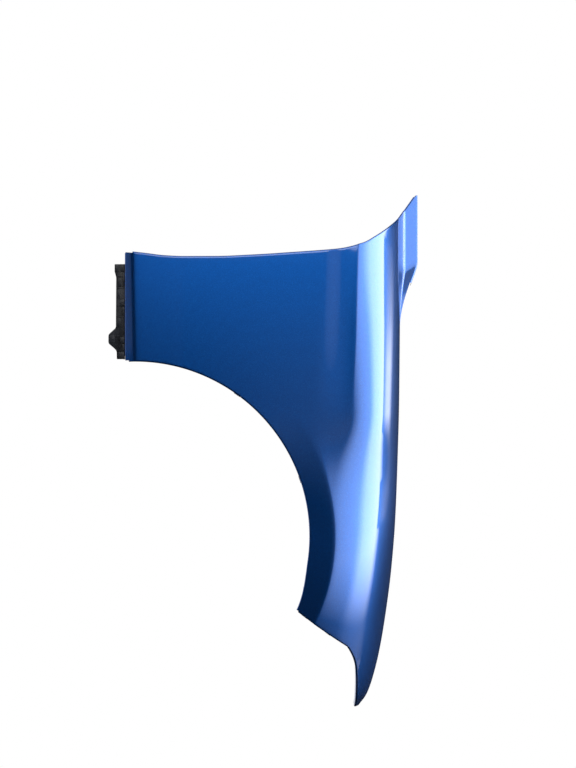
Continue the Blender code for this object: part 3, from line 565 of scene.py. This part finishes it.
inner_paint, nodes, links, shader = new_material("thin_inner_paint")
spot = nodes.new("ShaderNodeTexCoord")
mist = node(nodes, "ShaderNodeTexNoise", Scale=9.0, Detail=6.0, Roughness=0.6)
tone = colour_ramp(
    nodes, (0.35, (0.004, 0.045, 0.22)), (0.62, (0.009, 0.06, 0.24)), (0.85, (0.05, 0.075, 0.14))
)
spray = node(nodes, "ShaderNodeTexNoise", Scale=700.0, Detail=3.0, Roughness=0.7)
speck = colour_ramp(nodes, (0.55, (0.0, 0.0, 0.0)), (0.72, (0.35, 0.35, 0.35)))
primer = node(nodes, "ShaderNodeMix")
primer.data_type = "RGBA"
primer.inputs["B"].default_value = (0.09, 0.10, 0.12, 1.0)
gloss = colour_ramp(nodes, (0.3, (0.34, 0.34, 0.34)), (0.8, (0.58, 0.58, 0.58)))
dust = node(nodes, "ShaderNodeBump", Strength=0.1, Distance=0.0002)
links.new(spot.outputs["Object"], mist.inputs["Vector"])
links.new(spot.outputs["Object"], spray.inputs["Vector"])
links.new(mist.outputs["Fac"], tone.inputs["Fac"])
links.new(mist.outputs["Fac"], gloss.inputs["Fac"])
links.new(spray.outputs["Fac"], speck.inputs["Fac"])
links.new(spray.outputs["Fac"], dust.inputs["Height"])
links.new(speck.outputs["Color"], primer.inputs["Factor"])
links.new(tone.outputs["Color"], primer.inputs["A"])
links.new(primer.outputs["Result"], shader.inputs["Base Color"])
links.new(gloss.outputs["Color"], shader.inputs["Roughness"])
links.new(dust.outputs["Normal"], shader.inputs["Normal"])
shader.inputs["Metallic"].default_value = 0.25

panel.data.materials.append(paint)
panel.data.materials.append(inner_paint)
only(panel)
solid = panel.modifiers.new("Sheet", "SOLIDIFY")
solid.thickness = SHEET
solid.offset = -1
solid.use_even_offset = True
solid.use_quality_normals = True
solid.material_offset = 1
bpy.ops.object.modifier_apply(modifier=solid.name)
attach(panel, "root")
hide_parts("fender_panel")


# The flanges are pierced: slots for the hood bolts with a pair of pin holes between them, round
# holes for the door bolts, the bumper joint and the wheel arch liner, and slots for the strip.


def mark(name, share, inset):
    """A place on a flange, a share of the way along it and inset from its free edge."""
    edge, goals = flanges[name]
    spot = share * (len(edge) - 1)
    number = min(int(spot), len(edge) - 2)
    goal = goals[number].lerp(goals[number + 1], spot - number).normalized()
    right = (edge[number + 1] - edge[number]).normalized()
    up = right.cross(goal).cross(right).normalized()
    return edge[number].lerp(edge[number + 1], spot - number) - goal * inset, right, up


def middle(name, share):
    """The middle of the nearest of the straight runs that the flange has in the CAD."""
    runs = (len(flanges[name][0]) - 1) // FINER
    return (int(share * runs) + 0.5) / runs


def stood(piece, place, right, up):
    """Turns a piece made at the origin to a flange and sets it at a place there."""
    turn = Matrix((right, up, right.cross(up))).transposed()
    piece.data.transform(Matrix.Translation(place) @ turn.to_4x4())
    return piece


def punch(place, right, up, radius, run=0.0):
    """A cylinder square to a flange, drawn out to a slot by the run between its two halves."""
    bpy.ops.object.select_all(action="DESELECT")
    bpy.ops.mesh.primitive_cylinder_add(vertices=40, radius=radius, depth=0.012)
    made = bpy.context.object
    for vert in made.data.vertices:
        vert.co.x += math.copysign(run / 2, vert.co.x)
    return stood(made, place, right, up)


def joined(parts):
    """Joins parts into the first of them."""
    only(parts[0])
    for part in parts:
        part.select_set(True)
    bpy.ops.object.join()
    return parts[0]


def pierce(piece, punches):
    """Takes the punches out of a piece, and leaves it selected."""
    cut = piece.modifiers.new("Holes", "BOOLEAN")
    cut.operation = "DIFFERENCE"
    cut.solver = "EXACT"
    cut.object = joined(punches)
    only(piece)
    bpy.ops.object.modifier_apply(modifier=cut.name)
    bpy.data.objects.remove(punches[0])


FORWARD = Vector((1, 0, 0))
BOLT_HOLE = 0.0045
SMALL_HOLE = 0.0035

# The middle land carries the two pin holes.
PIN_LAND = 2
PIN_SHIFT = FORWARD * 0.0168

# How far each row of holes lies in from its flange's free edge, and its shares of the edge.
HOOD_INSET = 0.017
ARCH_INSET = 0.008
JOINT_INSET = 0.009
SILL_INSET = 0.010
DOOR_INSET = 0.015
JOINT_HOLES = (0.36, 0.88)
STRIP_HOLES = (0.1, 0.47, 0.78)
punches = []
for land, centre in enumerate(land_centres()):
    column = min(range(len(hood_x)), key=lambda n: abs(hood_x[n] - centre))
    share = (column - COWL_COLUMNS - FINER) / (len(flanges["hood"][0]) - 1)
    bolt, right, up = mark("hood", share, HOOD_INSET)
    if land == PIN_LAND:
        for pin in (bolt - PIN_SHIFT, bolt + PIN_SHIFT):
            punches.append(punch(pin, FORWARD, INBOARD, SMALL_HOLE))
    else:
        punches.append(punch(bolt, right, up, BOLT_HOLE, 0.005))
for share in (0.06, 0.28, 0.5, 0.72, 0.9):
    punches.append(punch(*mark("arch", middle("arch", share), ARCH_INSET), SMALL_HOLE))
for share in JOINT_HOLES:
    punches.append(punch(*mark("joint", middle("joint", share), JOINT_INSET), SMALL_HOLE))
for share in STRIP_HOLES:
    punches.append(punch(*mark("sill", share, SILL_INSET), SMALL_HOLE, 0.006))
door = flanges["door"][0][::FINER]
for ear in DOOR_EARS:
    below = sum(place.z < ear * SHOULDER_Z + WHEEL_CENTRE.z for place in door)
    share = (below - 0.5) / (len(door) - 1)
    punches.append(punch(*mark("door", share, DOOR_INSET), BOLT_HOLE))
pierce(panel, punches)
bpy.ops.object.shade_smooth_by_angle(angle=math.radians(40.0))


# The brackets are pressed from thicker sheet, spot-welded on the panel before painting, and take
# the same paint as its inner side. Each weld shows on the bracket as a low round button.

for name in ("leg_brace", "door_bracket", "headlamp_bracket"):
    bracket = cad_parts[name]
    bracket.data.materials.clear()
    bracket.data.materials.append(inner_paint)


def softened(piece, width):
    """Rounds the edges of a moulded piece."""
    only(piece)
    bevel = piece.modifiers.new("Edges", "BEVEL")
    bevel.width = width
    bevel.segments = 3
    bevel.limit_method = "ANGLE"
    bpy.ops.object.modifier_apply(modifier=bevel.name)
    return piece


def turned(radius, low, high, tip, width):
    """A cylinder between two heights, drawn in to a share of its radius at the top and rounded."""
    bpy.ops.object.select_all(action="DESELECT")
    bpy.ops.mesh.primitive_cone_add(
        vertices=48, radius1=radius, radius2=radius * tip, depth=high - low
    )
    made = bpy.context.object
    made.data.transform(Matrix.Translation((0, 0, (low + high) / 2)))
    return softened(made, width)


BRACKET_FACE = 0.0022

# Each weld is given by a flange's free edge, a column along it and how far in it lies.
welds = []
for name, column, inset in (
    ("door", 8, 0.0075), ("door", 12, 0.0075), ("arch", -13, 0.0075), ("arch", -17, 0.0075),
    ("door", 51, 0.0045), ("door", 57, 0.0045), ("joint", 3, 0.0045), ("joint", 9, 0.0045),
):
    edge, goals = flanges[name]
    right = (edge[column + 1] - edge[column - 1]).normalized()
    inward = goals[column].cross(right).normalized()
    place = edge[column] - goals[column] * inset + inward * BRACKET_FACE
    weld = turned(0.003, -0.0003, 0.0003, 0.8, 0.0002)
    welds.append(stood(weld, place, right, inward.cross(right)))
weld_buttons = joined(welds)
weld_buttons.name = "weld_buttons"
bpy.ops.object.shade_smooth_by_angle(angle=math.radians(35.0))
weld_buttons.data.materials.append(inner_paint)
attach(weld_buttons, "root")


# The strip below the foot is moulded in black plastic with a fine grain. A top plate lies against
# the sill flange; the face under it has a raised rim, a tab, boxes and ribs; ribs brace it behind.

plastic, nodes, links, shader = new_material("grained_black_plastic")
spot = nodes.new("ShaderNodeTexCoord")
grain = node(nodes, "ShaderNodeTexNoise", Scale=1500.0, Detail=3.0)
wear = node(nodes, "ShaderNodeTexNoise", Scale=45.0, Detail=5.0)
tone = colour_ramp(nodes, (0.3, (0.003, 0.0035, 0.005)), (0.8, (0.010, 0.012, 0.017)))
bump = node(nodes, "ShaderNodeBump", Strength=0.25, Distance=0.0003)
links.new(spot.outputs["Object"], grain.inputs["Vector"])
links.new(spot.outputs["Object"], wear.inputs["Vector"])
links.new(grain.outputs["Fac"], bump.inputs["Height"])
links.new(bump.outputs["Normal"], shader.inputs["Normal"])
links.new(wear.outputs["Fac"], tone.inputs["Fac"])
links.new(tone.outputs["Color"], shader.inputs["Base Color"])
shader.inputs["Roughness"].default_value = 0.36
shader.inputs["Specular IOR Level"].default_value = 0.22

sill_rear, sill_front = flanges["sill"][0][-1], flanges["sill"][0][0]
along_sill = (sill_front - sill_rear).normalized()
strip_start = sill_rear - INBOARD * 0.023 + along_sill * 0.0211 - UP * 0.0003

# In millimetres, as places along the strip and drops from its top.
STRIP_OUTLINE = (
    (0.0, 0.4), (0.0, 20.2), (1.2, 21.4), (15.8, 21.4), (18.5, 20.6), (25.5, 18.7), (28.0, 18.2),
    (126.5, 18.8), (129.5, 19.8), (140.5, 31.6), (143.0, 33.2), (146.0, 33.8), (157.5, 33.8),
    (160.5, 33.2), (163.0, 31.4), (172.5, 20.4), (175.0, 18.4), (178.0, 17.2), (192.2, 16.8),
    (193.4, 15.6), (193.4, 0.4),
)

# Each of these is a start and an end along the strip, how far it stands proud, and its two drops.
STRIP_BOXES = (
    (1.0, 15.5, 2.4, 0.8, 9.0), (1.0, 15.5, 1.2, 12.0, 19.0), (28.0, 46.0, 1.8, 6.0, 14.0),
    (17.5, 47.0, 1.0, 0.6, 4.2), (72.0, 85.0, 2.4, 0.6, 10.0), (87.0, 104.0, 1.2, 0.6, 5.0),
    (148.0, 160.0, 2.2, 0.6, 9.0), (162.0, 175.0, 1.0, 0.6, 5.0), (178.0, 191.0, 2.2, 0.8, 12.5),
    (53.0, 69.0, 0.6, 9.0, 15.0), (109.0, 126.0, 0.6, 8.0, 15.0), (144.0, 158.0, 0.7, 20.0, 29.5),
)
FACE_RIBS = (
    (26.0, 17.0), (49.5, 16.6), (70.5, 16.8), (86.0, 16.8), (106.5, 17.2),
    (128.0, 17.6), (146.0, 28.0), (152.0, 29.0), (158.0, 28.0), (176.5, 15.4),
)
BACK_RIBS = (6.0, 40.0, 61.0, 80.0, 119.0, 135.0, 174.0)


def outward():
    """Turns the faces of the active piece outwards."""
    bpy.ops.object.mode_set(mode="EDIT")
    bpy.ops.mesh.select_all(action="SELECT")
    bpy.ops.mesh.normals_make_consistent(inside=False)
    bpy.ops.object.mode_set(mode="OBJECT")


def slab(places, run):
    """A flat plate drawn through the places and extruded by the run."""
    bpy.ops.object.select_all(action="DESELECT")
    bpy.ops.mesh.primitive_circle_add(vertices=len(places), fill_type="NGON")
    made = bpy.context.object
    for vert, place in zip(made.data.vertices, places):
        vert.co = place
    bpy.ops.object.mode_set(mode="EDIT")
    bpy.ops.mesh.select_all(action="SELECT")
    bpy.ops.mesh.extrude_region_move(TRANSFORM_OT_translate={"value": run})
    bpy.ops.object.mode_set(mode="OBJECT")
    outward()
    return made


def brick(u, depth, drop):
    """A box on the strip in millimetres: along it, inboard from its face, and down from its top."""
    bpy.ops.object.select_all(action="DESELECT")
    bpy.ops.mesh.primitive_cube_add(size=2.0)
    made = bpy.context.object
    for vert in made.data.vertices:
        place = [pair[axis > 0] / 1000 for pair, axis in zip((u, depth, drop), vert.co)]
        vert.co = strip_start + along_sill * place[0] + INBOARD * place[1] - UP * place[2]
    outward()
    return softened(made, 0.0004)


places = [strip_start + along_sill * u / 1000 - UP * drop / 1000 for u, drop in STRIP_OUTLINE]
strip = slab(places, INBOARD * 0.0024)
strip.name = "moulded_strip"
for face in strip.data.polygons:
    face.select = face.normal.y < -0.9
bpy.ops.object.mode_set(mode="EDIT")
bpy.ops.mesh.inset(thickness=0.0018, depth=-0.0009)
bpy.ops.object.mode_set(mode="OBJECT")
strip_parts = [softened(strip, 0.0005)]
for start, end, proud, top, bottom in STRIP_BOXES:
    strip_parts.append(brick((start, end), (-proud, 2.0), (top, bottom)))
for u, drop in FACE_RIBS:
    strip_parts.append(brick((u - 0.6, u + 0.6), (-0.8, 1.8), (0.8, drop)))
for u in BACK_RIBS:
    strip_parts.append(brick((u - 0.9, u + 0.9), (2.0, 11.5), (1.6, 15.6)))
top_plate = brick((0.6, 192.8), (0.8, 20.5), (0.0, 2.4))
rivet_places = [mark("sill", share, SILL_INSET)[0] for share in STRIP_HOLES]
pierce(top_plate, [punch(place, FORWARD, INBOARD, SMALL_HOLE) for place in rivet_places])
joined([*strip_parts, top_plate])
bpy.ops.object.shade_smooth_by_angle(angle=math.radians(35.0))
strip.data.materials.clear()
strip.data.materials.append(plastic)
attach(strip, "root")
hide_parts("sill_strip")


# Three push rivets of the same plastic hold the strip: a flat head with a raised button below, and
# above the flange a ribbed pin that ends in a blunt point. One is modelled and copied.


def copied(model, name):
    """A copy of a model with its own mesh."""
    made = bpy.data.objects.new(name, model.data.copy())
    bpy.context.scene.collection.objects.link(made)
    return made


head = turned(0.008, -0.0018, -0.0003, 1.0, 0.0006)
button = turned(0.0027, -0.0021, -0.001, 1.0, 0.0003)
neck = turned(0.0031, -0.0006, 0.0041, 1.0, 0.0002)
pin = turned(0.0042, 0.0042, 0.0078, 1.0, 0.0004)
point = turned(0.0041, 0.0078, 0.0112, 0.62, 0.0003)
rib = turned(0.0044, 0.0052, 0.0057, 1.0, 0.0002)
model = joined((head, button, neck, pin, point, rib))
bpy.ops.object.shade_smooth_by_angle(angle=math.radians(35.0))
model.data.materials.append(plastic)
for number, place in enumerate(rivet_places):
    rivet = copied(model, f"push_rivet_{number + 1}")
    rivet.data.transform(Matrix.Translation(place - UP * 0.0027))
    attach(rivet, "root")
    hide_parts(f"sill_rivet_{number + 1}")
bpy.data.objects.remove(model)


# Four spring nuts clip over the flanges at the bumper joint and the wheel arch. Each is folded from
# hard zinc-plated strip, with a threaded boss on the inner leaf.

zinc, nodes, links, shader = new_material("zinc_plate")
spot = nodes.new("ShaderNodeTexCoord")
cloud = node(nodes, "ShaderNodeTexNoise", Scale=220.0, Detail=4.0)
tone = colour_ramp(nodes, (0.3, (0.42, 0.42, 0.41)), (0.7, (0.62, 0.61, 0.58)))
links.new(spot.outputs["Object"], cloud.inputs["Vector"])
links.new(cloud.outputs["Fac"], tone.inputs["Fac"])
links.new(tone.outputs["Color"], shader.inputs["Base Color"])
shader.inputs["Metallic"].default_value = 1.0
shader.inputs["Roughness"].default_value = 0.34


def arc(centre, radius, start, end):
    """Points along an arc, from and to angles in degrees."""
    turns = [math.radians(mix(start, end, step / 12)) for step in range(13)]
    return [(centre[0] + radius * math.cos(t), centre[1] + radius * math.sin(t)) for t in turns]


def spring_nut(inset):
    """A folded leaf with its screw axis on Z, its fold towards +Y and its boss below."""
    bend = (inset - 0.0004, -0.0004)
    outline = [(-0.0068, 0.0009), *arc(bend, 0.0013, 90, -90)]
    outline += [(-0.0060, -0.0017), (-0.0072, -0.0024), (-0.0074, -0.0018), (-0.0062, -0.0011)]
    outline += [*arc(bend, 0.0007, -90, 90), (-0.0068, 0.0003)]
    leaf = slab([(-0.007, across, height) for across, height in outline], (0.014, 0.0, 0.0))
    boss = turned(0.00425, -0.0052, -0.0014, 1.0, 0.0003)
    for half in (boss, leaf):
        pierce(half, [punch(Vector((0, 0, 0)), FORWARD, INBOARD, 0.0024)])
    joined((leaf, boss))
    bpy.ops.object.shade_smooth_by_angle(angle=math.radians(35.0))
    leaf.data.materials.clear()
    leaf.data.materials.append(zinc)
    return leaf


for name, edge, inset, shares in (
    ("joint_nut", "joint", JOINT_INSET, JOINT_HOLES),
    ("arch_nut", "arch", ARCH_INSET, (0.28, 0.72)),
):
    model = spring_nut(inset)
    for number, share in enumerate(shares):
        nut = copied(model, f"folded_{name}_{number + 1}")
        stood(nut, *mark(edge, middle(edge, share), inset))
        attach(nut, "root")
        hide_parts(f"{name}_{number + 1}")
    bpy.data.objects.remove(model)


# The studio: a pale floor below the hung part that fades into the white round it, and dark walls
# for the lacquer to mirror. The walls and the lights are hidden from the camera.


def card(name, corners, material):
    """A flat rectangle of the studio, added as a plane and set in place by its corners."""
    bpy.ops.object.select_all(action="DESELECT")
    bpy.ops.mesh.primitive_plane_add(size=1.0)
    made = bpy.context.object
    made.name = name
    for vert, place in zip(made.data.vertices, corners):
        vert.co = place
    made.data.materials.append(material)
    return made


def between(x, near, far):
    """The corners of a rectangle along the car, between two lines given as (y, z)."""
    return ((x[0], *near), (x[1], *near), (x[0], *far), (x[1], *far))


FLOOR_Z = -1.3
pale, nodes, links, shader = new_material("pale_floor")
shader.inputs["Base Color"].default_value = (0.82, 0.82, 0.82, 1.0)
shader.inputs["Roughness"].default_value = 0.9
spot = nodes.new("ShaderNodeTexCoord")
below_part = nodes.new("ShaderNodeMapping")
below_part.inputs["Location"].default_value = (0.0, 0.0, -FLOOR_Z)
distance = nodes.new("ShaderNodeVectorMath")
distance.operation = "LENGTH"
fade = node(nodes, "ShaderNodeMapRange", **{"From Min": 1.0, "From Max": 2.8})
fade.interpolation_type = "SMOOTHSTEP"
path = nodes.new("ShaderNodeLightPath")
seen = nodes.new("ShaderNodeMath")
seen.operation = "MAXIMUM"
faded = nodes.new("ShaderNodeMath")
faded.operation = "MULTIPLY"
white = node(nodes, "ShaderNodeEmission", Strength=1.0)
blend = nodes.new("ShaderNodeMixShader")
links.new(spot.outputs["Object"], below_part.inputs["Vector"])
links.new(below_part.outputs["Vector"], distance.inputs[0])
links.new(distance.outputs["Value"], fade.inputs["Value"])
links.new(path.outputs["Is Camera Ray"], seen.inputs[0])
links.new(path.outputs["Is Transmission Ray"], seen.inputs[1])
links.new(seen.outputs["Value"], faded.inputs[0])
links.new(fade.outputs["Result"], faded.inputs[1])
links.new(faded.outputs["Value"], blend.inputs["Fac"])
links.new(shader.outputs["BSDF"], blend.inputs[1])
links.new(white.outputs["Emission"], blend.inputs[2])
links.new(blend.outputs["Shader"], nodes["Material Output"].inputs["Surface"])
floor = card("studio_floor", between((-14.0, 14.0), (-14.0, FLOOR_Z), (14.0, FLOOR_Z)), pale)
floor.visible_glossy = False

dark, *_, shader = new_material("dark_wall")
shader.inputs["Base Color"].default_value = (0.02, 0.02, 0.02, 1.0)
shader.inputs["Roughness"].default_value = 1.0
end_corners = ((7.0, -6.0, -16.0), (7.0, 9.0, -16.0), (7.0, -6.0, 7.0), (7.0, 9.0, 7.0))
for name, corners in (
    ("front_wall", between((-9.0, 7.0), (-6.0, -16.0), (-6.0, 4.2))),
    ("rear_wall", between((-9.0, 7.0), (2.1, 4.2), (9.0, 1.2))),
    ("end_wall", end_corners),
):
    wall = card(name, corners, dark)
    wall.visible_camera = wall.visible_diffuse = wall.visible_shadow = False


# Soft lights: a wide card slants over the part and a narrow one lies above the crown. One stands
# at the rear of the outer side, a weak one before the camera, a dim one low down and one inboard.


def soft_light(name, corners, strength, across, along_car):
    """A glowing card whose light rises and falls across it and along the car."""
    glow = bpy.data.materials.new(name)
    glow.use_nodes = True
    nodes, links = glow.node_tree.nodes, glow.node_tree.links
    nodes.clear()
    spot = nodes.new("ShaderNodeTexCoord")
    split = nodes.new("ShaderNodeSeparateXYZ")
    links.new(spot.outputs["UV"], split.inputs["Vector"])
    product = nodes.new("ShaderNodeVectorMath")
    product.operation = "MULTIPLY"
    for slot, (axis, stops) in enumerate((("Y", across), ("X", along_car))):
        level = colour_ramp(nodes, *((stop, (value,) * 3) for stop, value in stops))
        links.new(split.outputs[axis], level.inputs["Fac"])
        links.new(level.outputs["Color"], product.inputs[slot])
    lamp = node(nodes, "ShaderNodeEmission", Strength=strength)
    out = nodes.new("ShaderNodeOutputMaterial")
    links.new(product.outputs["Vector"], lamp.inputs["Color"])
    links.new(lamp.outputs["Emission"], out.inputs["Surface"])
    made = card(name, corners, glow)
    made.visible_camera = False
    return made


soft_light(
    "overhead_light",
    between((-3.6, 2.4), (-3.8, 0.3), (2.0, 3.7)),
    strength=8.5,
    across=(
        (0.0, 0.03), (0.05, 0.06), (0.12, 0.16), (0.3, 0.38),
        (0.5, 0.46), (0.6, 1.0), (0.85, 1.0), (1.0, 0.0),
    ),
    along_car=((0.0, 0.5), (0.15, 1.0), (0.70, 1.0), (0.92, 0.08)),
)
soft_light(
    "bridge_light",
    between((-0.85, 0.45), (1.3, 3.2), (3.6, 3.2)),
    strength=4.5,
    across=((0.0, 0.1), (0.3, 1.0), (0.6, 0.9), (1.0, 0.0)),
    along_car=((0.0, 0.0), (0.35, 1.0), (0.65, 1.0), (1.0, 0.0)),
)
soft_light(
    "side_light",
    between((-3.9, -0.98), (-3.7, -1.9), (-3.7, 1.0)),
    strength=5.2,
    across=((0.0, 0.6), (0.4, 1.0), (1.0, 1.0)),
    along_car=((0.0, 0.1), (0.5, 0.7), (0.92, 1.0), (1.0, 0.5)),
)
soft_light(
    "front_light",
    between((-0.9, 1.1), (-3.8, -0.9), (-3.8, 0.3)),
    strength=0.36,
    across=((0.0, 0.0), (0.5, 0.45), (0.85, 1.0), (1.0, 0.85)),
    along_car=((0.0, 0.0), (0.45, 1.0), (0.6, 1.0), (1.0, 0.0)),
)
soft_light(
    "ground_light",
    between((-4.0, -0.55), (-5.9, -16.0), (-5.9, -10.4)),
    strength=0.28,
    across=((0.0, 1.0), (1.0, 0.8)),
    along_car=((0.0, 1.0), (0.95, 1.0), (1.0, 0.0)),
)
soft_light(
    "rear_light",
    between((-2.0, 2.0), (3.2, -1.2), (3.2, 0.3)),
    strength=1.6,
    across=((0.0, 0.6), (1.0, 1.0)),
    along_car=((0.0, 1.0), (1.0, 1.0)),
)

# The world is the white background. The camera and reflections see it in full, and it lights the
# part more weakly, to fill the shadows.

world = bpy.data.worlds.new("studio")
bpy.context.scene.world = world
world.use_nodes = True
nodes, links = world.node_tree.nodes, world.node_tree.links
white = nodes["Background"]
white.inputs["Color"].default_value = (1.0, 1.0, 1.0, 1.0)
white.inputs["Strength"].default_value = 1.0
fill_light = node(nodes, "ShaderNodeBackground", Color=(1.0, 1.0, 1.0, 1.0), Strength=0.4)
path = nodes.new("ShaderNodeLightPath")
seen = nodes.new("ShaderNodeMath")
seen.operation = "MAXIMUM"
seen_through = nodes.new("ShaderNodeMath")
seen_through.operation = "MAXIMUM"
choose = nodes.new("ShaderNodeMixShader")
links.new(path.outputs["Is Camera Ray"], seen.inputs[0])
links.new(path.outputs["Is Glossy Ray"], seen.inputs[1])
links.new(seen.outputs["Value"], seen_through.inputs[0])
links.new(path.outputs["Is Transmission Ray"], seen_through.inputs[1])
links.new(seen_through.outputs["Value"], choose.inputs["Fac"])
links.new(fill_light.outputs["Background"], choose.inputs[1])
links.new(white.outputs["Background"], choose.inputs[2])
links.new(choose.outputs["Shader"], nodes["World Output"].inputs["Surface"])

# The camera looks square at the outer side from 4 m away, turned so that the part's rear is up
# and its foot is on the left, as in the photograph.

camera = bpy.data.cameras.new("camera")
viewer = bpy.data.objects.new("camera", camera)
bpy.context.scene.collection.objects.link(viewer)
camera.sensor_width = 36.0
camera.lens = 93.75
camera.clip_end = 100.0
stand = Matrix(((0, -1, 0, 0), (0, 0, -1, 0), (1, 0, 0, 0), (0, 0, 0, 1)))
stand.translation = Vector((-0.3044, -4.0, 0.307)) + WHEEL_CENTRE
viewer.matrix_world = stand
bpy.context.scene.camera = viewer
bpy.context.scene.view_settings.view_transform = "Standard"
